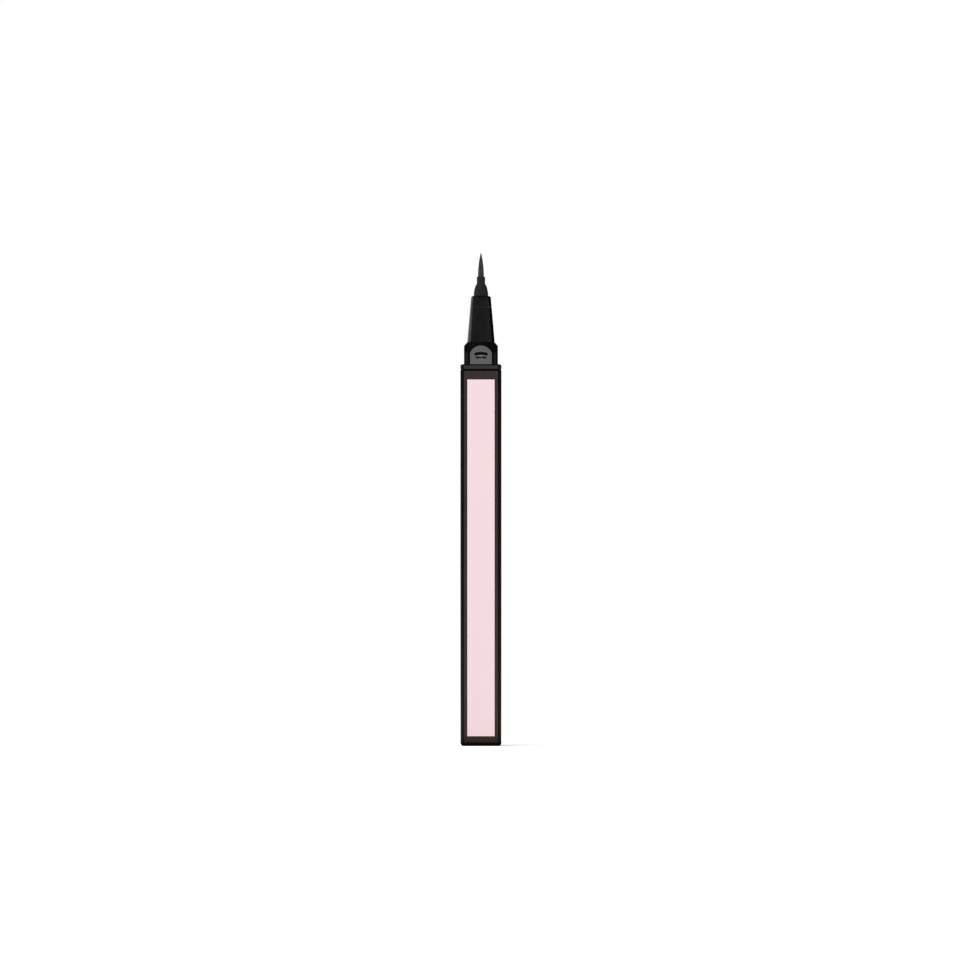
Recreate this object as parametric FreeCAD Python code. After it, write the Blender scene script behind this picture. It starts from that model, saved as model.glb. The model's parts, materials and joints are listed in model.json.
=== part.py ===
"""Liquid eyeliner pen with a square barrel and a brush tip, uncapped and standing on its tail.

Millimetres, +Z up along the pen's axis towards the brush. The origin is the centre of the foot
under the tail, and the labelled front of the pen faces -Y. Each function below makes one piece,
and pieces that fit together take their sizes from the same values and a named gap.
"""

import FreeCAD
import Part

import math
import os

Vector = FreeCAD.Vector
AXIS = Vector(0, 0, 1)

# Gaps between pieces
FIT_GAP = 0.04  # all round a piece that is pushed into another
BALL_END_GAP = 0.05  # under the ball at rest, and above it at the end of its travel
BALL_SIDE_GAP = 1.37  # between the ball and the tank's wall

# Barrel: a straight square tube, open at both ends
BARREL_WIDTH = 10.0
BARREL_LENGTH = 90.9
BARREL_WALL = 0.9
BARREL_CORNER = 0.85  # radius of the four long edges, and of the foot's edge
SEAM_HEIGHT = 0.55  # of the bevel round the barrel's mouth: the groove under the grip section's flange
SEAM_DEPTH = 0.18

# Label: a film that lies flush in a shallow recess of the barrel's front
LABEL_THICKNESS = 0.12
LABEL_SIDE_MARGIN = 1.68
LABEL_TAIL_MARGIN = 1.42
LABEL_MOUTH_MARGIN = 2.63

# Tail plug: the foot of the pen, with a socket for the ink tank
TAIL_FLANGE = 1.0
TAIL_SPIGOT = 7.0
TAIL_SOCKET = 4.0  # depth that the tank goes in
TAIL_CORE = 2.6  # depth of the hollow below the socket
TAIL_LEDGE = 0.9  # width of the ring that the tank stands on

# Snap ridges: a pair on each spigot, which click into grooves in the barrel's side walls
RIDGE_RISE = 0.2
RIDGE_LENGTH = 4.0
TAIL_RIDGE_DEPTH = 4.0  # from the barrel's end
GRIP_RIDGE_DEPTH = 5.0

# Grip section: square flange and collar, domed shoulder and hollow cone
GRIP_FLANGE = 1.1
GRIP_FLANGE_EDGE = 0.3
GRIP_SPIGOT = 10.0
SPIGOT_WALL = 0.7  # at the middle of a flat side, around the tank
TANK_SHOULDER_DEPTH = 2.1  # from the barrel's mouth down to the shoulder above the tank
COLLAR_STEP = 0.87  # from the barrel's side in to the collar's, which leaves room for a cap's wall
COLLAR_HEIGHT = 2.7  # up to where the turned corners start to curve in
COLLAR_CORNER_RISE = 0.775  # how far the turned corners stand out beyond the flats
SHOULDER_SPREAD = 0.095  # by which the shoulder's ball is larger than the turned corners
SHOULDER_STEP = 0.75  # from the collar's flat in to the foot of the cone
CONE_LENGTH = 11.25
CONE_WALL = 0.9  # at the foot of the cone
FRONT_BORE_LENGTH = 8.0
VENT_WIDTH = 0.6  # of the groove that lets air in past the nib holder, at the back
VENT_DEPTH = 0.3

# Snap lugs: an arched ridge on the front and back flats, which a cap clicks over
LUG_WIDTH = 2.9
LUG_HEIGHT = 1.5
LUG_RISE = 0.4
LUG_ARCH_RADIUS = 4.4  # of the ridge's crest, which bows up
LUG_ABOVE_FLANGE = 2.25

# Nose ring: the front of the cone, a separate ring that clamps the nib holder's flange
NOSE_RADIUS = 2.4
NOSE_EDGE = 0.25
NOSE_RING_HEIGHT = 2.75
NOSE_RING_WALL = 0.6
NOSE_LIP = 0.65
NOSE_SEAM_CHAMFER = 0.12

# Nib holder: the bullet-shaped tip that carries the ferrule
NIB_RADIUS = 1.78
NIB_MOUTH_RADIUS = 1.18
NIB_HEIGHT = 2.83
NIB_FLANGE = 0.5
NIB_TAIL_WALL = 0.36
NIB_TAIL_LENGTH = 2.9  # below the flange

# Brush and its ferrule
FERRULE_WALL = 0.25
FERRULE_EXPOSED = 1.85
BRUSH_ROOT_RADIUS = 0.73
BRUSH_EXPOSED = 5.87
BRUSH_TIP_RADIUS = 0.05
BRUSH_HEAD_RADIUS = 1.2  # the filaments' melted end, which stops the brush from sliding out
BRUSH_HEAD = 0.6

# Retainer: the sleeve that holds the brush's head up and guides the relay core into it
RETAINER_LENGTH = 4.8

# Ink tank and relay core
TANK_WALL = 0.7
TANK_FLOOR = 1.0
TANK_EDGE = 0.4
CORE_RADIUS = 0.75
CORE_RECESS = 0.5  # from the collector's tail up to the core's end, out of the ball's way

# Collector: the comb of fins that takes up ink when the air in the tank grows warm
COLLECTOR_FLANGE = 0.8
COLLECTOR_PLUG = 3.0
COLLECTOR_TAIL = 2.0
CORE_BAR_WALL = 0.4  # at the middle of each side of the square bar that carries the fins
FIN_COUNT = 7
FIN_PITCH = 2.2
FIN_THICKNESS = 0.9
FIN_GAP = 0.12  # from the fins to the tank's wall
INK_SLIT = 0.3
AIR_NOTCH_WIDTH = 0.9
AIR_NOTCH_DEPTH = 0.6
AIR_CHANNEL = 0.3  # width of the square channel through the plug, from the sponge to the comb
TAIL_SLOT_WIDTH = 0.5  # of the cross cut that keeps the ball from closing the ink inlet
TAIL_SLOT_DEPTH = 0.8

# Seal: a square-section rubber ring in a groove round the collector's plug
SEAL_SECTION = 0.6

# Overflow sponge: a foam ring round the collector's stem, which soaks up a drip
SPONGE_HEADROOM = 3.0  # from the sponge up to the front bore

# Widths and radii that follow from the values above
CAVITY_WIDTH = BARREL_WIDTH - 2 * BARREL_WALL
SPIGOT_WIDTH = CAVITY_WIDTH - 2 * FIT_GAP
TANK_RADIUS = SPIGOT_WIDTH / 2 - SPIGOT_WALL - FIT_GAP
TANK_SOCKET_RADIUS = TANK_RADIUS + FIT_GAP
TANK_BORE = TANK_RADIUS - TANK_WALL
BALL_RADIUS = TANK_BORE - BALL_SIDE_GAP
COLLAR_WIDTH = BARREL_WIDTH - 2 * COLLAR_STEP
COLLAR_TURNED_RADIUS = COLLAR_WIDTH / 2 + COLLAR_CORNER_RISE
SHOULDER_RADIUS = COLLAR_TURNED_RADIUS + SHOULDER_SPREAD
CONE_RADIUS = COLLAR_WIDTH / 2 - SHOULDER_STEP
CONE_SLOPE = (CONE_RADIUS - NOSE_RADIUS) / CONE_LENGTH
HOLLOW_RADIUS = CONE_RADIUS - CONE_WALL
NOSE_SEAM_RADIUS = NOSE_RADIUS + NOSE_RING_HEIGHT * CONE_SLOPE
NOSE_SPIGOT_RADIUS = NOSE_SEAM_RADIUS - NOSE_RING_WALL
FERRULE_BORE = BRUSH_ROOT_RADIUS + FIT_GAP
FERRULE_RADIUS = FERRULE_BORE + FERRULE_WALL
NIB_BORE = FERRULE_RADIUS + FIT_GAP
NIB_TAIL_RADIUS = NIB_BORE + NIB_TAIL_WALL
FRONT_BORE_RADIUS = NIB_TAIL_RADIUS + FIT_GAP
CORE_BORE = CORE_RADIUS + FIT_GAP
CORE_BAR_WIDTH = 2 * (CORE_BORE + CORE_BAR_WALL)
PLUG_RADIUS = TANK_BORE - FIT_GAP
SEAL_BORE = PLUG_RADIUS - SEAL_SECTION
SEAL_GROOVE_RADIUS = SEAL_BORE - FIT_GAP
FIN_RADIUS = TANK_BORE - FIN_GAP

# Levels along the axis, from the tail up
SHOULDER_FOOT = math.sqrt(SHOULDER_RADIUS**2 - COLLAR_TURNED_RADIUS**2)  # above the ball's centre
SHOULDER_TOP = math.sqrt(SHOULDER_RADIUS**2 - CONE_RADIUS**2)
Z_BARREL = TAIL_FLANGE
Z_MOUTH = Z_BARREL + BARREL_LENGTH
Z_COLLAR = Z_MOUTH + GRIP_FLANGE
Z_SHOULDER = Z_COLLAR + COLLAR_HEIGHT
Z_CONE = Z_SHOULDER + SHOULDER_TOP - SHOULDER_FOOT
Z_NOSE = Z_CONE + CONE_LENGTH
Z_NOSE_SEAM = Z_NOSE - NOSE_RING_HEIGHT
Z_NIB_FLANGE_TOP = Z_NOSE - NOSE_LIP
Z_NIB_FLANGE = Z_NIB_FLANGE_TOP - NIB_FLANGE
Z_NIB_TAIL = Z_NIB_FLANGE - NIB_TAIL_LENGTH
Z_NIB_MOUTH = Z_NOSE + NIB_HEIGHT
Z_FERRULE_MOUTH = Z_NIB_MOUTH + FERRULE_EXPOSED
Z_BRUSH_TIP = Z_FERRULE_MOUTH + BRUSH_EXPOSED
Z_BRUSH_HEAD = Z_NIB_TAIL - BRUSH_HEAD
Z_RETAINER = Z_BRUSH_HEAD - RETAINER_LENGTH
Z_FRONT_BORE = Z_NIB_FLANGE - FRONT_BORE_LENGTH
Z_SPONGE_TOP = Z_FRONT_BORE - SPONGE_HEADROOM
Z_TANK_SHOULDER = Z_MOUTH - TANK_SHOULDER_DEPTH
Z_TANK_MOUTH = Z_TANK_SHOULDER - COLLECTOR_FLANGE
Z_PLUG = Z_TANK_MOUTH - COLLECTOR_PLUG
Z_SEAL = (Z_PLUG + Z_TANK_MOUTH - SEAL_SECTION) / 2
Z_SEAL_TOP = Z_SEAL + SEAL_SECTION
Z_COMB = Z_PLUG - FIN_COUNT * FIN_PITCH
Z_COLLECTOR_TAIL = Z_COMB - COLLECTOR_TAIL
Z_TANK = Z_BARREL + TAIL_SPIGOT - TAIL_SOCKET
Z_TANK_FLOOR = Z_TANK + TANK_FLOOR
BALL_LOW = Z_TANK_FLOOR + BALL_END_GAP + BALL_RADIUS
BALL_HIGH = Z_COLLECTOR_TAIL - BALL_END_GAP - BALL_RADIUS


class Outline:
    """Half of a turned piece's section, as (radius, height) points joined by lines and arcs."""

    def __init__(self, radius, height):
        self.start = self.end = Vector(radius, 0, height)
        self.edges = []

    def line(self, radius, height):
        point = Vector(radius, 0, height)
        self.edges.append(Part.LineSegment(self.end, point).toShape())
        self.end = point
        return self

    def arc(self, centre, radius, height):
        """The shorter arc about this centre, from the last point to this one."""
        point = Vector(radius, 0, height)
        outward = (self.end + point) / 2 - centre
        middle = centre + outward * ((point - centre).Length / outward.Length)
        self.edges.append(Part.Arc(self.end, middle, point).toShape())
        self.end = point
        return self

    def dome(self, radius, height):
        """An arc about a centre on the axis, so that it turns into part of a ball."""
        growth = radius**2 + height**2 - self.end.x**2 - self.end.z**2
        return self.arc(Vector(0, 0, growth / (2 * (height - self.end.z))), radius, height)

    def ogive(self, radius, height):
        """An arc that leaves the last point straight up and curves in to this one."""
        inward = self.end.x - radius
        rise = height - self.end.z
        curve = (rise**2 + inward**2) / (2 * inward)
        return self.arc(Vector(self.end.x - curve, 0, self.end.z), radius, height)

    def turn(self):
        """Closes the outline and turns it about the pen's axis."""
        self.line(self.start.x, self.start.z)
        face = Part.Face(Part.Wire(self.edges))
        return face.revolve(Vector(0, 0, 0), AXIS, 360)


def rod(radius, bottom, top):
    return Part.makeCylinder(radius, top - bottom, Vector(0, 0, bottom), AXIS)


def tube(radius, bore, bottom, top):
    return rod(radius, bottom, top).cut(rod(bore, bottom, top))


def square_bar(width, bottom, top):
    half = width / 2
    return Part.makeBox(width, width, top - bottom, Vector(-half, -half, bottom))


def upright_edges(shape):
    return [edge for edge in shape.Edges if edge.BoundBox.ZLength > edge.Length / 2]


def edges_at(shape, height):
    """The edges that lie in the level plane at this height."""
    near = 1e-4
    boxes = [(edge, edge.BoundBox) for edge in shape.Edges]
    return [edge for edge, box in boxes if max(box.ZMax - height, height - box.ZMin) < near]


def snap_ridges(rise, length, height):
    """Two bars along Y with a diamond section, centred on the left and right faces of a spigot."""
    bars = []
    for side in (-SPIGOT_WIDTH / 2, SPIGOT_WIDTH / 2):
        section = [(side - rise, height), (side, height + rise), (side + rise, height), (side, height - rise)]
        points = [Vector(x, -length / 2, z) for x, z in section]
        face = Part.Face(Part.makePolygon([*points, points[0]]))
        bars.append(face.extrude(Vector(0, length, 0)))
    return bars


def label_block(gap):
    """The label's block on the barrel's front, made larger by a gap all round its edge."""
    width = BARREL_WIDTH - 2 * LABEL_SIDE_MARGIN + 2 * gap
    length = BARREL_LENGTH - LABEL_TAIL_MARGIN - LABEL_MOUTH_MARGIN + 2 * gap
    corner = Vector(-width / 2, -BARREL_WIDTH / 2, Z_BARREL + LABEL_TAIL_MARGIN - gap)
    return Part.makeBox(width, LABEL_THICKNESS, length, corner)


def barrel():
    outside = square_bar(BARREL_WIDTH, Z_BARREL, Z_MOUTH)
    outside = outside.makeFillet(BARREL_CORNER, upright_edges(outside))
    outside = outside.makeChamfer(SEAM_HEIGHT, SEAM_DEPTH, edges_at(outside, Z_MOUTH))
    cavity = square_bar(CAVITY_WIDTH, Z_BARREL, Z_MOUTH)
    groove_rise = RIDGE_RISE + FIT_GAP * math.sqrt(2)  # so that the gap is square to the ridge's sides
    groove_length = RIDGE_LENGTH + 2 * FIT_GAP
    grooves = []
    for height in (Z_BARREL + TAIL_RIDGE_DEPTH, Z_MOUTH - GRIP_RIDGE_DEPTH):
        grooves += snap_ridges(groove_rise, groove_length, height)
    return outside.cut([cavity, label_block(FIT_GAP), *grooves])


def front_label():
    return label_block(0)


def tail_plug():
    flange = square_bar(BARREL_WIDTH, 0, Z_BARREL)
    flange = flange.makeFillet(BARREL_CORNER, upright_edges(flange) + edges_at(flange, 0))
    top = Z_BARREL + TAIL_SPIGOT
    spigot = square_bar(SPIGOT_WIDTH, Z_BARREL, top)
    ridges = snap_ridges(RIDGE_RISE, RIDGE_LENGTH, Z_BARREL + TAIL_RIDGE_DEPTH)
    socket = rod(TANK_SOCKET_RADIUS, Z_TANK, top)
    core = rod(TANK_RADIUS - TAIL_LEDGE, Z_TANK - TAIL_CORE, Z_TANK)
    return flange.fuse([spigot, *ridges]).cut([socket, core]).removeSplitter()


def ink_tank():
    return (
        Outline(0, Z_TANK)
        .line(TANK_RADIUS - TANK_EDGE, Z_TANK)
        .line(TANK_RADIUS, Z_TANK + TANK_EDGE)
        .line(TANK_RADIUS, Z_TANK_MOUTH)
        .line(TANK_BORE, Z_TANK_MOUTH)
        .line(TANK_BORE, Z_TANK_FLOOR)
        .line(0, Z_TANK_FLOOR)
        .turn()
    )


def mixing_ball():
    return Part.makeSphere(BALL_RADIUS, Vector(0, 0, BALL_LOW))


def collector():
    head = (
        Outline(0, Z_PLUG)
        .line(PLUG_RADIUS, Z_PLUG)
        .line(PLUG_RADIUS, Z_SEAL - FIT_GAP)
        .line(SEAL_GROOVE_RADIUS, Z_SEAL - FIT_GAP)
        .line(SEAL_GROOVE_RADIUS, Z_SEAL_TOP + FIT_GAP)
        .line(PLUG_RADIUS, Z_SEAL_TOP + FIT_GAP)
        .line(PLUG_RADIUS, Z_TANK_MOUTH)
        .line(TANK_RADIUS, Z_TANK_MOUTH)
        .line(TANK_RADIUS, Z_TANK_SHOULDER)
        .line(NIB_TAIL_RADIUS, Z_TANK_SHOULDER)
        .line(NIB_TAIL_RADIUS, Z_RETAINER)
        .line(0, Z_RETAINER)
        .turn()
    )
    core_bar = square_bar(CORE_BAR_WIDTH, Z_COLLECTOR_TAIL, Z_PLUG)
    fins = []
    for number in range(FIN_COUNT):
        bottom = Z_COMB + number * FIN_PITCH
        fins.append(rod(FIN_RADIUS, bottom, bottom + FIN_THICKNESS))
    core_hole = rod(CORE_BORE, Z_COLLECTOR_TAIL, Z_RETAINER)
    return head.fuse([core_bar, *fins]).cut([core_hole, *collector_channels()])


def collector_channels():
    """Ink slit down the comb's front, air notch and channel at its back, cross cut in its tail."""
    comb = Z_PLUG - Z_COMB
    slit = Part.makeBox(INK_SLIT, FIN_RADIUS, comb, Vector(-INK_SLIT / 2, -FIN_RADIUS, Z_COMB))
    notch_corner = Vector(-AIR_NOTCH_WIDTH / 2, FIN_RADIUS - AIR_NOTCH_DEPTH, Z_COMB)
    notch = Part.makeBox(AIR_NOTCH_WIDTH, AIR_NOTCH_DEPTH, comb, notch_corner)
    channel_near = (NIB_TAIL_RADIUS + SEAL_GROOVE_RADIUS - AIR_CHANNEL) / 2
    channel_corner = Vector(-AIR_CHANNEL / 2, channel_near, Z_PLUG)
    channel = Part.makeBox(AIR_CHANNEL, AIR_CHANNEL, Z_TANK_SHOULDER - Z_PLUG, channel_corner)
    span = CORE_BAR_WIDTH
    width = TAIL_SLOT_WIDTH
    cross = [
        Part.makeBox(span, width, TAIL_SLOT_DEPTH, Vector(-span / 2, -width / 2, Z_COLLECTOR_TAIL)),
        Part.makeBox(width, span, TAIL_SLOT_DEPTH, Vector(-width / 2, -span / 2, Z_COLLECTOR_TAIL)),
    ]
    return [slit, notch, channel, *cross]


def collector_seal():
    return tube(PLUG_RADIUS, SEAL_BORE, Z_SEAL, Z_SEAL_TOP)


def overflow_sponge():
    return tube(HOLLOW_RADIUS - FIT_GAP, NIB_TAIL_RADIUS + FIT_GAP, Z_TANK_SHOULDER, Z_SPONGE_TOP)


def relay_core():
    return rod(CORE_RADIUS, Z_COLLECTOR_TAIL + CORE_RECESS, Z_BRUSH_HEAD)


def snap_lug():
    """A crowned ridge on the collar's front flat, turned about a point below it so that it bows up."""
    face = COLLAR_WIDTH / 2
    height = Z_COLLAR + LUG_ABOVE_FLANGE
    half = LUG_HEIGHT / 2
    bottom = Vector(0, -face, height - half)
    top = Vector(0, -face, height + half)
    crown = Part.Arc(bottom, Vector(0, -face - LUG_RISE, height), top).toShape()
    sunk = Vector(0, LUG_RISE, 0)
    back = Part.makePolygon([top, top + sunk, bottom + sunk, bottom])
    section = Part.Face(Part.Wire([crown, *back.Edges]))
    centre = Vector(0, 0, height - LUG_ARCH_RADIUS)
    half_turn = math.degrees(math.asin(LUG_WIDTH / (2 * LUG_ARCH_RADIUS)))
    section.rotate(centre, Vector(0, 1, 0), -half_turn)
    return section.revolve(centre, Vector(0, 1, 0), 2 * half_turn)


def grip_section():
    flange = square_bar(BARREL_WIDTH, Z_MOUTH, Z_COLLAR)
    flange = flange.makeFillet(BARREL_CORNER, upright_edges(flange))
    flange = flange.makeChamfer(GRIP_FLANGE_EDGE, edges_at(flange, Z_COLLAR))
    spigot_bottom = Z_MOUTH - GRIP_SPIGOT
    spigot = square_bar(SPIGOT_WIDTH, spigot_bottom, Z_MOUTH)
    ridges = snap_ridges(RIDGE_RISE, RIDGE_LENGTH, Z_MOUTH - GRIP_RIDGE_DEPTH)
    front_lug = snap_lug()
    back_lug = front_lug.rotated(Vector(0, 0, 0), AXIS, 180)
    outside = grip_nose().fuse([flange, spigot, front_lug, back_lug, *ridges])
    return outside.cut([grip_hollow(spigot_bottom), vent_groove()]).removeSplitter()


def grip_nose():
    """Collar, domed shoulder and cone: turned on the axis, then cut by four flats."""
    turned = (
        Outline(0, Z_MOUTH)
        .line(COLLAR_TURNED_RADIUS, Z_MOUTH)
        .line(COLLAR_TURNED_RADIUS, Z_SHOULDER)
        .dome(CONE_RADIUS, Z_CONE)
        .line(NOSE_SEAM_RADIUS, Z_NOSE_SEAM)
        .line(NOSE_SPIGOT_RADIUS, Z_NOSE_SEAM)
        .line(NOSE_SPIGOT_RADIUS, Z_NIB_FLANGE)
        .line(0, Z_NIB_FLANGE)
        .turn()
    )
    return turned.common(square_bar(COLLAR_WIDTH, Z_MOUTH, Z_NIB_FLANGE))


def grip_hollow(bottom):
    """The inside of the grip section: tank bore, overflow space and front bore."""
    return (
        Outline(0, bottom)
        .line(TANK_SOCKET_RADIUS, bottom)
        .line(TANK_SOCKET_RADIUS, Z_TANK_SHOULDER)
        .line(HOLLOW_RADIUS, Z_TANK_SHOULDER)
        .line(HOLLOW_RADIUS, Z_FRONT_BORE)
        .line(FRONT_BORE_RADIUS, Z_FRONT_BORE)
        .line(FRONT_BORE_RADIUS, Z_NIB_FLANGE)
        .line(0, Z_NIB_FLANGE)
        .turn()
    )


def vent_groove():
    """The groove along the back of the front bore, from the nib holder's flange to the hollow."""
    depth = FRONT_BORE_RADIUS + VENT_DEPTH
    corner = Vector(-VENT_WIDTH / 2, 0, Z_FRONT_BORE)
    return Part.makeBox(VENT_WIDTH, depth, FRONT_BORE_LENGTH, corner)


def nose_ring():
    bore = NOSE_SPIGOT_RADIUS + FIT_GAP
    lip = NIB_RADIUS + FIT_GAP
    seam_radius = NOSE_SEAM_RADIUS - NOSE_SEAM_CHAMFER
    return (
        Outline(bore, Z_NOSE_SEAM)
        .line(seam_radius, Z_NOSE_SEAM)
        .line(NOSE_SEAM_RADIUS - NOSE_SEAM_CHAMFER * CONE_SLOPE, Z_NOSE_SEAM + NOSE_SEAM_CHAMFER)
        .line(NOSE_RADIUS + NOSE_EDGE * CONE_SLOPE, Z_NOSE - NOSE_EDGE)
        .line(NOSE_RADIUS - NOSE_EDGE, Z_NOSE)
        .line(lip, Z_NOSE)
        .line(lip, Z_NIB_FLANGE_TOP)
        .line(bore, Z_NIB_FLANGE_TOP)
        .turn()
    )


def nib_holder():
    turned = (
        Outline(NIB_BORE, Z_NIB_TAIL)
        .line(NIB_TAIL_RADIUS, Z_NIB_TAIL)
        .line(NIB_TAIL_RADIUS, Z_NIB_FLANGE)
        .line(NOSE_SPIGOT_RADIUS, Z_NIB_FLANGE)
        .line(NOSE_SPIGOT_RADIUS, Z_NIB_FLANGE_TOP)
        .line(NIB_RADIUS, Z_NIB_FLANGE_TOP)
        .line(NIB_RADIUS, Z_NOSE)
        .ogive(NIB_MOUTH_RADIUS, Z_NIB_MOUTH)
        .line(NIB_BORE, Z_NIB_MOUTH)
        .turn()
    )
    notch_corner = Vector(-VENT_WIDTH / 2, NIB_TAIL_RADIUS, Z_NIB_FLANGE)
    notch_depth = NOSE_SPIGOT_RADIUS - NIB_TAIL_RADIUS
    notch = Part.makeBox(VENT_WIDTH, notch_depth, NIB_FLANGE, notch_corner)
    return turned.cut(notch)


def brush_ferrule():
    return tube(FERRULE_RADIUS, FERRULE_BORE, Z_NIB_TAIL, Z_FERRULE_MOUTH)


def brush_tip():
    return (
        Outline(0, Z_BRUSH_HEAD)
        .line(BRUSH_HEAD_RADIUS, Z_BRUSH_HEAD)
        .line(BRUSH_HEAD_RADIUS, Z_NIB_TAIL)
        .line(BRUSH_ROOT_RADIUS, Z_NIB_TAIL)
        .line(BRUSH_ROOT_RADIUS, Z_FERRULE_MOUTH)
        .ogive(BRUSH_TIP_RADIUS, Z_BRUSH_TIP)
        .line(0, Z_BRUSH_TIP)
        .turn()
    )


def brush_retainer():
    return tube(NIB_TAIL_RADIUS, CORE_BORE, Z_RETAINER, Z_BRUSH_HEAD)


PIECES = (
    barrel,
    front_label,
    tail_plug,
    ink_tank,
    mixing_ball,
    collector,
    collector_seal,
    overflow_sponge,
    relay_core,
    grip_section,
    nose_ring,
    nib_holder,
    brush_ferrule,
    brush_tip,
    brush_retainer,
)


def main():
    os.makedirs("parts", exist_ok=True)
    for piece in PIECES:
        shape = piece()
        shape.exportStep(os.path.join("parts", piece.__name__ + ".step"))
        print(f"{piece.__name__:16s} {len(shape.Solids)} solid, {shape.Volume:9.3f} mm3")
    print(f"pen {Z_BRUSH_TIP:.2f} mm long, ball {2 * BALL_RADIUS:.2f} mm across")
    print(f"ball's centre from {BALL_LOW:.2f} to {BALL_HIGH:.2f} mm, travel {BALL_HIGH - BALL_LOW:.2f} mm")


main()
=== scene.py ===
"""Looks of the liquid eyeliner pen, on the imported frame.

Metres, +Z up along the pen's axis, label towards -Y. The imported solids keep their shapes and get
procedural materials; only the brush is built here, as a bundle of filaments. Azimuths are in
degrees from the camera's side of the pen, -Y, round towards +X.
"""

import json
import math
import random

import bmesh
import bpy
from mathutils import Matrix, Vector


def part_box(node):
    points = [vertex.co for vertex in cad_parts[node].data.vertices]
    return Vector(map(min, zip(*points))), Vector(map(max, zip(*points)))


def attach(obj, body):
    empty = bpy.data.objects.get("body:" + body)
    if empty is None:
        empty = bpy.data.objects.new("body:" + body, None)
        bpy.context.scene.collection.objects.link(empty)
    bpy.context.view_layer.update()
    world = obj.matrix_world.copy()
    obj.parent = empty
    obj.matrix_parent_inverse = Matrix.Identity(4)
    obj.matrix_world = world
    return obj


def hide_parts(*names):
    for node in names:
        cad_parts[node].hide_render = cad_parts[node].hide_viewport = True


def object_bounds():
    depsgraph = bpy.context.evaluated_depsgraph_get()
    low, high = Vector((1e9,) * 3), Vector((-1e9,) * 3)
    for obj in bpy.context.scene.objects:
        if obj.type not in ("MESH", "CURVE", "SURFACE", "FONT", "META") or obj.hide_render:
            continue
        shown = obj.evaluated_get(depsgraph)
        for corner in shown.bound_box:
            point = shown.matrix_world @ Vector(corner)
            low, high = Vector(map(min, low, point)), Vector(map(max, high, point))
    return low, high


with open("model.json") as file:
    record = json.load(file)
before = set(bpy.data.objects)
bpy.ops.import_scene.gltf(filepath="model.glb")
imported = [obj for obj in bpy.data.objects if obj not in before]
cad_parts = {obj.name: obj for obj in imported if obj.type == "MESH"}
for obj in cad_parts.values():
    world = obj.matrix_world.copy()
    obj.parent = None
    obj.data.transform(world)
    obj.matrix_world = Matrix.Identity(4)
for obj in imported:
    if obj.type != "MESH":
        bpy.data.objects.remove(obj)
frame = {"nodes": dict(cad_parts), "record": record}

CAD_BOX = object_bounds()

# The photograph's frame, in pixels, and its scale at the pen
PHOTO_SIZE = 960
PHOTO_AXIS_X = 480.95
PHOTO_FOOT_Y = 745.68
PIXELS_PER_METRE = 4100
CAMERA_DISTANCE = 3.0

# Brush: rings of filaments round a plain core
FILAMENT_RADIUS = 0.000055
FILAMENT_RINGS = 3
FILAMENT_SIDES = 6
FILAMENT_STEPS = 12
FILAMENT_ROOT = 0.0004  # length inside the ferrule
FILAMENT_TIP_SHARE = 0.3  # of its radius that a filament keeps at its end
SHORTEST_FILAMENT = 0.84  # share of the brush's exposed length
FILAMENT_TWIST = 0.12  # most that a filament turns round the axis, in radians
CORE_SHARE = 0.62  # of the brush's radius that the plain core takes up
LATHE_SIDES = 40
BRUSH_SEED = 11

# Grip section: how far its satin rim reaches above the barrel, and how far the painted highlight at the seam
# reaches on each side of it
RIM_HEIGHT = 0.00075
SEAM_HIGHLIGHT_REACH = 0.0003

# Studio: a pale floor and a soft lamp above
FLOOR_REACH = 6.0
FLOOR_GLOW = 0.25  # added to the floor where it shows, near the pen
FAR_FLOOR_GLOW = 0.5
GLOW_START = 0.3  # distance from the pen at which the glow starts to grow
GLOW_END = 1.5
WORLD_FILL = 0.62  # strength of the white world where it lights the pen
LAMP_AZIMUTH = -45.0
LAMP_ELEVATION = 58.0
LAMP_DISTANCE = 1.3
LAMP_SIZE = 1.0
LAMP_POWER = 14.0

# Studio screens that only reflections see, round the pen
SCREEN_DISTANCE = 0.5
SCREEN_TOP = 0.5
SCREEN_STEP = 6.0  # degrees between the uprights of a curved screen
FRONT_WINDOW = 5.0  # half its width, in degrees
FRONT_WINDOW_TOP = 0.135
SIDE_WINDOW_START = 82.0
SIDE_WINDOW_END = 98.0
SIDE_WINDOW_TOP = 0.085
BACK_WINDOW = 165.0  # azimuth at which it starts
SLOT_BOTTOM = 0.108
SLOT_TOP = 0.17
GREY_SCREEN_TOP = 0.25
BLACK = 0.004
DARK_GREY = 0.08
PALE_GREY = 0.4

# Studio screens on the floor, in sectors on each side of the front: start, end and reach of a sector,
# the distances from the axis up to which it is black and from which it is palest, and its palest tone
FLOOR_SCREEN_LIFT = 0.00005
FLOOR_SCREENS = {
    "front_strip": (0.0, FRONT_WINDOW, 0.065, 0.05, 0.065, 1.0),
    "front_floor_screens": (FRONT_WINDOW, 80.0, SCREEN_DISTANCE, 0.012, 0.16, 0.25),
    "side_strips": (80.0, 100.0, 0.04, 0.012, 0.04, 1.0),
    "rear_floor_screens": (100.0, 155.0, SCREEN_DISTANCE, 0.012, 0.16, 0.5),
    "back_strip": (155.0, 180.0, 0.04, 0.012, 0.04, 1.0),
}


def mesh_object(name, shape):
    """A new object in the scene that holds this bmesh."""
    mesh = bpy.data.meshes.new(name)
    shape.to_mesh(mesh)
    shape.free()
    made = bpy.data.objects.new(name, mesh)
    bpy.context.scene.collection.objects.link(made)
    return made


# Node materials

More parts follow.
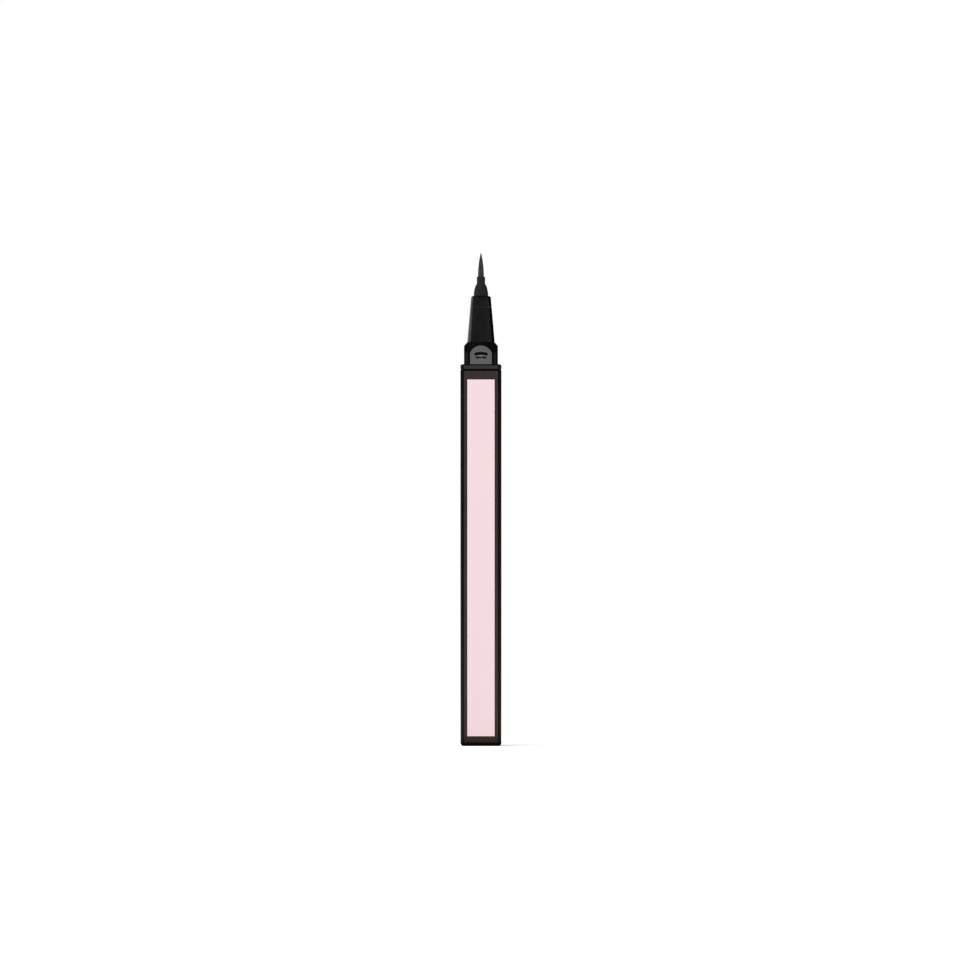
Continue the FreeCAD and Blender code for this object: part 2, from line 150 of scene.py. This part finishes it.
class Paint:
    """A node material under construction: its Principled shader and short ways to feed it."""

    def __init__(self, name):
        self.material = bpy.data.materials.new(name)
        self.material.use_nodes = True
        self.tree = self.material.node_tree
        self.shader = self.tree.nodes["Principled BSDF"]

    def set(self, **values):
        """Sets shader inputs; an underscore in a name stands for a space."""
        for name, value in values.items():
            self.shader.inputs[name.replace("_", " ")].default_value = value
        return self

    def node(self, kind, **inputs):
        made = self.tree.nodes.new(kind)
        for name, value in inputs.items():
            made.inputs[name.replace("_", " ")].default_value = value
        return made

    def link(self, output, target):
        self.tree.links.new(output, target)

    def place(self, stretch):
        """The object's coordinates, drawn out along an axis whose stretch is below 1."""
        coordinates = self.tree.nodes.new("ShaderNodeTexCoord")
        mapping = self.node("ShaderNodeMapping", Scale=stretch)
        self.link(coordinates.outputs["Object"], mapping.inputs["Vector"])
        return mapping.outputs["Vector"]

    def noise(self, grain, stretch=(1, 1, 1), detail=4.0):
        """Noise whose grain is about this many metres across."""
        made = self.node("ShaderNodeTexNoise", Scale=1 / grain, Detail=detail)
        self.link(self.place(stretch), made.inputs["Vector"])
        return made.outputs["Fac"]

    def distance(self):
        """Distance from the object's origin."""
        made = self.tree.nodes.new("ShaderNodeVectorMath")
        made.operation = "LENGTH"
        self.link(self.place((1, 1, 1)), made.inputs[0])
        return made.outputs["Value"]

    def cells(self, grain):
        """Distance from the centre of the nearest cell, for cells of about this size."""
        made = self.node("ShaderNodeTexVoronoi", Scale=1 / grain)
        self.link(self.place((1, 1, 1)), made.inputs["Vector"])
        return made.outputs["Distance"]

    def colour(self, pattern, dark, light):
        """Base colour that runs between two colours with a pattern."""
        ramp = self.tree.nodes.new("ShaderNodeValToRGB")
        ramp.color_ramp.elements[0].position = 0.3
        ramp.color_ramp.elements[1].position = 0.7
        ramp.color_ramp.elements[0].color = (*dark, 1)
        ramp.color_ramp.elements[1].color = (*light, 1)
        self.link(pattern, ramp.inputs["Fac"])
        self.link(ramp.outputs["Color"], self.shader.inputs["Base Color"])
        return self

    def spread(self, pattern, start, stop, low, high):
        """A pattern's values from start to stop, spread from low to high and held there beyond."""
        made = self.node("ShaderNodeMapRange", From_Min=start, From_Max=stop, To_Min=low, To_Max=high)
        self.link(pattern, made.inputs["Value"])
        return made.outputs["Result"]

    def work(self, operation, first, second):
        """Two patterns added, multiplied and so on."""
        made = self.tree.nodes.new("ShaderNodeMath")
        made.operation = operation
        self.link(first, made.inputs[0])
        self.link(second, made.inputs[1])
        return made.outputs["Value"]

    def roughness(self, pattern, low, high, extra=None):
        """Roughness that runs between two values with a pattern, plus an extra where one is given."""
        amount = self.spread(pattern, 0.3, 0.7, low, high)
        if extra:
            amount = self.work("ADD", amount, extra)
        self.link(amount, self.shader.inputs["Roughness"])
        return self

    def relief(self, pattern, depth, edge=0.0):
        """Bumps of this depth, over edges that look rounded by the edge radius."""
        bump = self.node("ShaderNodeBump", Distance=depth)
        self.link(pattern, bump.inputs["Height"])
        if edge:
            rounding = self.node("ShaderNodeBevel", Radius=edge)
            self.link(rounding.outputs["Normal"], bump.inputs["Normal"])
        self.link(bump.outputs["Normal"], self.shader.inputs["Normal"])
        return self


def case_plastic():
    """Satin brown-black moulding with a fine spark texture."""
    paint = Paint("case_plastic").set(IOR=1.5, Specular_Tint=(1.0, 0.78, 0.72, 1))
    paint.colour(paint.noise(0.003), (0.0036, 0.0028, 0.0025), (0.0060, 0.0046, 0.0041))
    paint.roughness(paint.noise(0.0006), 0.12, 0.17)
    return paint.relief(paint.noise(0.00012, detail=2.0), 0.0000006, edge=0.00006).material


def grip_plastic():
    """Black moulding with faint rubbing marks round it: satin on the rim, lacquered above, and a painted
    highlight at the seam.
    """
    paint = Paint("grip_plastic").set(IOR=1.52, Specular_IOR_Level=1.0, Coat_Roughness=0.06)
    place = paint.tree.nodes.new("ShaderNodeSeparateXYZ")
    paint.link(paint.place((1, 1, 1)), place.inputs["Vector"])
    height = place.outputs["Z"]
    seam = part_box("nose_ring")[0].z
    # Painted highlight: the base colour turns lighter in a narrow band on each side of the seam, standing in
    # for light on its edges.
    below = paint.spread(height, seam - SEAM_HIGHLIGHT_REACH, seam, 0, 0.35)
    above = paint.spread(height, seam, seam + SEAM_HIGHLIGHT_REACH, 0.35, 0)
    mottle = paint.spread(paint.noise(0.002), 0.3, 0.7, 0.3, 0.35)
    mottle_and_seam_highlight = paint.work("ADD", mottle, paint.work("MINIMUM", below, above))
    paint.colour(mottle_and_seam_highlight, (0.0024, 0.0024, 0.0024), (0.0200, 0.0195, 0.0195))
    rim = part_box("barrel")[1].z + RIM_HEIGHT
    lacquer = paint.spread(height, rim, rim + RIM_HEIGHT / 10, 0, 1)
    paint.link(lacquer, paint.shader.inputs["Coat Weight"])
    satin = paint.spread(lacquer, 0, 1, 0.18, 0)
    paint.roughness(paint.noise(0.0008, stretch=(1, 1, 6)), 0.1, 0.16, extra=satin)
    return paint.relief(paint.noise(0.0004, stretch=(1, 1, 8)), 0.0000004, edge=0.00005).material


def nib_plastic():
    """Satin black moulding, a little greyer than the polished one."""
    paint = Paint("nib_plastic").set(IOR=1.5)
    paint.colour(paint.noise(0.0012), (0.0150, 0.0132, 0.0136), (0.0230, 0.0205, 0.0210))
    paint.roughness(paint.noise(0.0004), 0.36, 0.46)
    return paint.relief(paint.noise(0.00015), 0.000001, edge=0.00005).material


def label_film():
    """Pale pink printed film, half gloss, with a faint mottle."""
    paint = Paint("label_film").set(IOR=1.45)
    paint.colour(paint.noise(0.006, stretch=(1, 1, 0.3)), (0.865, 0.668, 0.698), (0.890, 0.682, 0.712))
    paint.roughness(paint.noise(0.0007), 0.34, 0.42)
    return paint.relief(paint.noise(0.00025), 0.000001).material


def tank_plastic():
    """Milky polypropylene, cloudy inside."""
    paint = Paint("tank_plastic").set(IOR=1.49, Transmission_Weight=0.35, Subsurface_Weight=0.2)
    paint.set(Subsurface_Radius=(0.001, 0.001, 0.0008))
    paint.colour(paint.noise(0.004, stretch=(1, 1, 0.4)), (0.66, 0.66, 0.61), (0.76, 0.76, 0.72))
    paint.roughness(paint.noise(0.001), 0.32, 0.45)
    return paint.relief(paint.noise(0.0006, stretch=(1, 1, 0.2)), 0.000002).material


def collector_plastic():
    """Matt black moulding, etched so that ink wets it."""
    paint = Paint("collector_plastic").set(IOR=1.5)
    paint.colour(paint.noise(0.0015), (0.022, 0.022, 0.025), (0.038, 0.038, 0.041))
    paint.roughness(paint.noise(0.0004), 0.48, 0.62)
    return paint.relief(paint.noise(0.00015), 0.000004).material


def seal_rubber():
    """Soft black rubber with a dusty bloom."""
    paint = Paint("seal_rubber").set(IOR=1.5)
    paint.colour(paint.noise(0.0008), (0.014, 0.014, 0.014), (0.027, 0.027, 0.028))
    paint.roughness(paint.noise(0.0005), 0.62, 0.8)
    return paint.relief(paint.noise(0.0002), 0.000005).material


def sponge_foam():
    """Open-cell foam: pale walls round cells darkened with painted shade."""
    paint = Paint("sponge_foam")
    cells = paint.cells(0.0004)
    # Painted shade: the base colour is darker towards the middle of each cell, where the bump makes a hollow.
    paint.colour(cells, (0.48, 0.46, 0.42), (0.8, 0.78, 0.73))
    paint.roughness(cells, 0.98, 0.86)
    return paint.relief(cells, 0.00008).material


def core_fibre():
    """Bonded fibres along the rod, stained by ink."""
    paint = Paint("core_fibre").set(Sheen_Weight=0.2)
    strands = paint.noise(0.00008, stretch=(1, 1, 0.02))
    paint.colour(strands, (0.055, 0.047, 0.044), (0.15, 0.13, 0.12))
    paint.roughness(paint.noise(0.0005), 0.7, 0.85)
    return paint.relief(strands, 0.00002).material


def brush_fibre():
    """Fine nylon filaments, wet with ink."""
    paint = Paint("brush_fibre").set(IOR=1.5)
    strands = paint.noise(0.00009, stretch=(1, 1, 0.05))
    paint.colour(strands, (0.035, 0.028, 0.029), (0.080, 0.065, 0.068))
    paint.roughness(paint.noise(0.0003, stretch=(1, 1, 0.2)), 0.32, 0.48)
    return paint.relief(strands, 0.000006).material


def ball_steel():
    """Polished steel with fine tumbling scratches."""
    paint = Paint("ball_steel").set(Metallic=1.0)
    paint.colour(paint.noise(0.0008), (0.56, 0.56, 0.57), (0.66, 0.66, 0.67))
    paint.roughness(paint.noise(0.0002, stretch=(1, 6, 1)), 0.1, 0.2)
    return paint.relief(paint.noise(0.0001, stretch=(1, 8, 1)), 0.0000005).material


MATERIALS = {
    paint.__name__: paint()
    for paint in (
        case_plastic,
        grip_plastic,
        nib_plastic,
        label_film,
        tank_plastic,
        collector_plastic,
        seal_rubber,
        sponge_foam,
        core_fibre,
        brush_fibre,
        ball_steel,
    )
}


def dress_nodes():
    """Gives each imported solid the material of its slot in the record."""
    for part in frame["record"]["subparts"]:
        frame["nodes"][part["node"]].material_slots[0].material = MATERIALS[part["material_slot"]]


# The brush

def add_rings(shape, rings):
    """Joins rings of points, given from one end to the other, and closes both ends."""
    loops = [[shape.verts.new(point) for point in ring] for ring in rings]
    for lower, upper in zip(loops, loops[1:]):
        for number, corner in enumerate(lower):
            after = (number + 1) % len(lower)
            shape.faces.new((corner, lower[after], upper[after], upper[number]))
    shape.faces.new(reversed(loops[0]))
    shape.faces.new(loops[-1])


def circle(centre, radius, sides):
    """Points round a level circle."""
    angles = [2 * math.pi * number / sides for number in range(sides)]
    return [centre + Vector((radius * math.cos(a), radius * math.sin(a), 0)) for a in angles]


class Brush:
    """Sizes of the brush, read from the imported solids."""

    def __init__(self):
        low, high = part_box("brush_tip")
        ferrule_low, ferrule_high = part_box("brush_ferrule")
        points = [vertex.co for vertex in frame["nodes"]["brush_tip"].data.vertices]
        self.head_radius = high.x
        self.head_low = low.z
        self.head_high = ferrule_low.z
        self.mouth = ferrule_high.z
        self.length = high.z - self.mouth
        near = FILAMENT_RADIUS / 10
        self.root = max(p.xy.length for p in points if abs(p.z - self.mouth) < near)
        self.tip = max(p.xy.length for p in points if abs(p.z - high.z) < near)
        inward = self.root - self.tip
        self.curve = (self.length**2 + inward**2) / (2 * inward)

    def radius(self, height):
        """Radius of the brush at a height above the ferrule's mouth."""
        rise = max(0, height)
        return self.root - self.curve + math.sqrt(self.curve**2 - rise**2)


def add_core(shape, brush):
    """Melted head, shank and the plain middle of the bundle."""
    shank = brush.root - FILAMENT_RADIUS / 4
    profile = [
        (brush.head_radius, brush.head_low),
        (brush.head_radius, brush.head_high),
        (shank, brush.head_high),
        (shank, brush.mouth - FILAMENT_ROOT),
    ]
    for step in range(FILAMENT_STEPS + 1):
        height = brush.length * step / FILAMENT_STEPS
        profile.append((CORE_SHARE * brush.radius(height), brush.mouth + height))
    add_rings(shape, [circle(Vector((0, 0, z)), radius, LATHE_SIDES) for radius, z in profile])


def add_filament(shape, brush, ring_share, angle, length, twist):
    """One filament that keeps its share of the brush's radius as the brush narrows."""
    rings = []
    for step in range(FILAMENT_STEPS + 1):
        share = step / FILAMENT_STEPS
        height = share * (length + FILAMENT_ROOT) - FILAMENT_ROOT
        radius = FILAMENT_RADIUS * (1 - (1 - FILAMENT_TIP_SHARE) * share**2)
        out = ring_share * max(0, brush.radius(height) - radius)
        turn = angle + twist * share
        centre = Vector((out * math.cos(turn), out * math.sin(turn), brush.mouth + height))
        rings.append(circle(centre, radius, FILAMENT_SIDES))
    add_rings(shape, rings)


def brush_bundle():
    """The brush: rings of seeded filaments of unequal length round the plain core."""
    brush = Brush()
    chance = random.Random(BRUSH_SEED)
    shape = bmesh.new()
    add_core(shape, brush)
    outermost = brush.root - FILAMENT_RADIUS
    for ring in range(FILAMENT_RINGS):
        across = outermost - 2 * ring * FILAMENT_RADIUS
        count = int(math.pi * across / FILAMENT_RADIUS)
        for number in range(count):
            angle = 2 * math.pi * (number + ring / 2) / count
            length = brush.length * chance.uniform(SHORTEST_FILAMENT, 1)
            twist = chance.uniform(-FILAMENT_TWIST, FILAMENT_TWIST)
            add_filament(shape, brush, across / outermost, angle, length, twist)
    made = mesh_object("brush_bundle", shape)
    made.data.shade_smooth()
    made.data.materials.append(MATERIALS["brush_fibre"])
    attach(made, "pen")
    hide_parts("brush_tip")


# The studio

def bearing(azimuth, distance, height):
    """The point at this azimuth and distance from the pen's axis."""
    turn = math.radians(azimuth)
    return Vector((distance * math.sin(turn), -distance * math.cos(turn), height))


def add_sheet(shape, points):
    """A flat face through these points."""
    shape.faces.new([shape.verts.new(point) for point in points])


def sees_background(tree):
    """1 on rays that show the background: from the camera, a reflection or a clear piece."""
    path = tree.nodes.new("ShaderNodeLightPath")
    total = path.outputs["Is Camera Ray"]
    for name in ("Is Glossy Ray", "Is Transmission Ray"):
        either = tree.nodes.new("ShaderNodeMath")
        either.operation = "MAXIMUM"
        tree.links.new(total, either.inputs[0])
        tree.links.new(path.outputs[name], either.inputs[1])
        total = either.outputs[0]
    return total


def white_world():
    """White where it shows, and a softer fill where it lights the pen."""
    world = bpy.data.worlds.new("studio")
    bpy.context.scene.world = world
    world.use_nodes = True
    world.cycles.sampling_method = "NONE"
    tree = world.node_tree
    background = tree.nodes["Background"]
    background.inputs["Color"].default_value = (1, 1, 1, 1)
    level = tree.nodes.new("ShaderNodeMapRange")
    level.inputs["To Min"].default_value = WORLD_FILL
    level.inputs["To Max"].default_value = 1.0
    tree.links.new(sees_background(tree), level.inputs["Value"])
    tree.links.new(level.outputs["Result"], background.inputs["Strength"])


def pale_floor():
    """Matt white floor that keeps the pen's shadow and runs on into the white behind it."""
    shape = bmesh.new()
    add_sheet(shape, [bearing(azimuth, FLOOR_REACH, 0) for azimuth in (-45, 45, 135, 225)])
    floor = mesh_object("floor", shape)
    paint = Paint("floor_white").set(Base_Color=(0.85, 0.85, 0.85, 1), Roughness=1.0)
    paint.set(Specular_IOR_Level=0.0, Emission_Color=(1, 1, 1, 1))
    glow = paint.spread(paint.distance(), GLOW_START, GLOW_END, FLOOR_GLOW, FAR_FLOOR_GLOW)
    glow = paint.work("MULTIPLY", glow, sees_background(paint.tree))
    paint.link(glow, paint.shader.inputs["Emission Strength"])
    floor.data.materials.append(paint.material)


def add_screen(shape, start, stop, bottom, top):
    """A curved upright screen between two azimuths and two heights."""
    steps = max(1, round(abs(stop - start) / SCREEN_STEP))
    uprights = [start + (stop - start) * number / steps for number in range(steps + 1)]
    for left, right in zip(uprights, uprights[1:]):
        corners = [(left, bottom), (right, bottom), (right, top), (left, top)]
        add_sheet(shape, [bearing(azimuth, SCREEN_DISTANCE, height) for azimuth, height in corners])


def add_floor_screen(shape, start, stop, reach):
    """A screen that lies on the floor between two azimuths, from the axis outwards."""
    corners = [(start, 0), (start, reach), (stop, reach)]
    add_sheet(shape, [bearing(azimuth, distance, FLOOR_SCREEN_LIFT) for azimuth, distance in corners])


def screen_object(name, shape, tone):
    """A screen of this tone that only reflections see; returns its paint."""
    made = mesh_object(name, shape)
    paint = Paint(name).set(Base_Color=(tone, tone, tone, 1), Specular_IOR_Level=0.0)
    made.data.materials.append(paint.material)
    made.visible_camera = False
    made.visible_diffuse = False
    made.visible_transmission = False
    made.visible_shadow = False
    return paint


def dark_screens():
    """Black screens round and above the pen.

    They leave a window in front, low ones at the sides, the back, and room for the grey screens.
    """
    shape = bmesh.new()
    for side in (-1, 1):
        front, near, far, back = (
            side * azimuth for azimuth in (FRONT_WINDOW, SIDE_WINDOW_START, SIDE_WINDOW_END, BACK_WINDOW)
        )
        add_screen(shape, 0, far, GREY_SCREEN_TOP, SCREEN_TOP)
        add_screen(shape, front, near, 0, FRONT_WINDOW_TOP)
        add_screen(shape, near, far, SIDE_WINDOW_TOP, FRONT_WINDOW_TOP)
        add_screen(shape, far, back, 0, SLOT_BOTTOM)
        add_screen(shape, far, back, SLOT_TOP, SCREEN_TOP)
    add_screen(shape, SIDE_WINDOW_END, BACK_WINDOW, SLOT_BOTTOM, SLOT_TOP)
    roof = 1.5 * SCREEN_DISTANCE
    add_sheet(shape, [bearing(azimuth, roof, SCREEN_TOP) for azimuth in (-45, 45, 135, 225)])
    screen_object("dark_screens", shape, BLACK)


def grey_screens():
    """The screens that the cone mirrors: a dark grey one in front, a paler one at the rear left."""
    shape = bmesh.new()
    add_screen(shape, -SIDE_WINDOW_END, SIDE_WINDOW_END, FRONT_WINDOW_TOP, GREY_SCREEN_TOP)
    screen_object("grey_screen", shape, DARK_GREY)
    shape = bmesh.new()
    add_screen(shape, -SIDE_WINDOW_END, -BACK_WINDOW, SLOT_BOTTOM, SLOT_TOP)
    screen_object("pale_screen", shape, PALE_GREY)


def floor_screens():
    """Screens on the floor, black under the pen and paler away from it."""
    for name, (start, stop, reach, dark, pale, tone) in FLOOR_SCREENS.items():
        shape = bmesh.new()
        for side in (-1, 1):
            add_floor_screen(shape, side * start, side * stop, reach)
        paint = screen_object(name, shape, BLACK)
        away = paint.spread(paint.distance(), dark, pale, 0.3, 0.7)
        paint.colour(away, [BLACK] * 3, [tone] * 3)


def soft_lamp():
    """A large square lamp, above and to the left of the camera, kept out of reflections."""
    data = bpy.data.lights.new("soft_lamp", "AREA")
    data.size = LAMP_SIZE
    data.energy = LAMP_POWER
    lamp = bpy.data.objects.new("soft_lamp", data)
    lift = math.radians(LAMP_ELEVATION)
    out, up = LAMP_DISTANCE * math.cos(lift), LAMP_DISTANCE * math.sin(lift)
    aim = Vector((0, 0, CAD_BOX[1].z / 2))
    lamp.location = aim + bearing(LAMP_AZIMUTH, out, up)
    lamp.rotation_euler = (aim - lamp.location).to_track_quat("-Z", "Y").to_euler()
    lamp.visible_glossy = False
    bpy.context.scene.collection.objects.link(lamp)


def camera():
    """Level with the pen and far off, framed as the photograph is."""
    data = bpy.data.cameras.new("camera")
    made = bpy.data.objects.new("camera", data)
    across = PHOTO_SIZE / PIXELS_PER_METRE
    data.lens = data.sensor_width * CAMERA_DISTANCE / across
    data.clip_end = 4 * FLOOR_REACH
    middle = PHOTO_SIZE / 2
    right = (middle - PHOTO_AXIS_X) / PIXELS_PER_METRE
    up = (PHOTO_FOOT_Y - middle) / PIXELS_PER_METRE
    made.location = (right, -CAMERA_DISTANCE, up)
    made.rotation_euler = (math.radians(90), 0, 0)
    bpy.context.scene.collection.objects.link(made)
    bpy.context.scene.camera = made


bpy.context.scene.view_settings.view_transform = "Standard"
dress_nodes()
brush_bundle()
camera()
white_world()
pale_floor()
dark_screens()
grey_screens()
floor_screens()
soft_lamp()
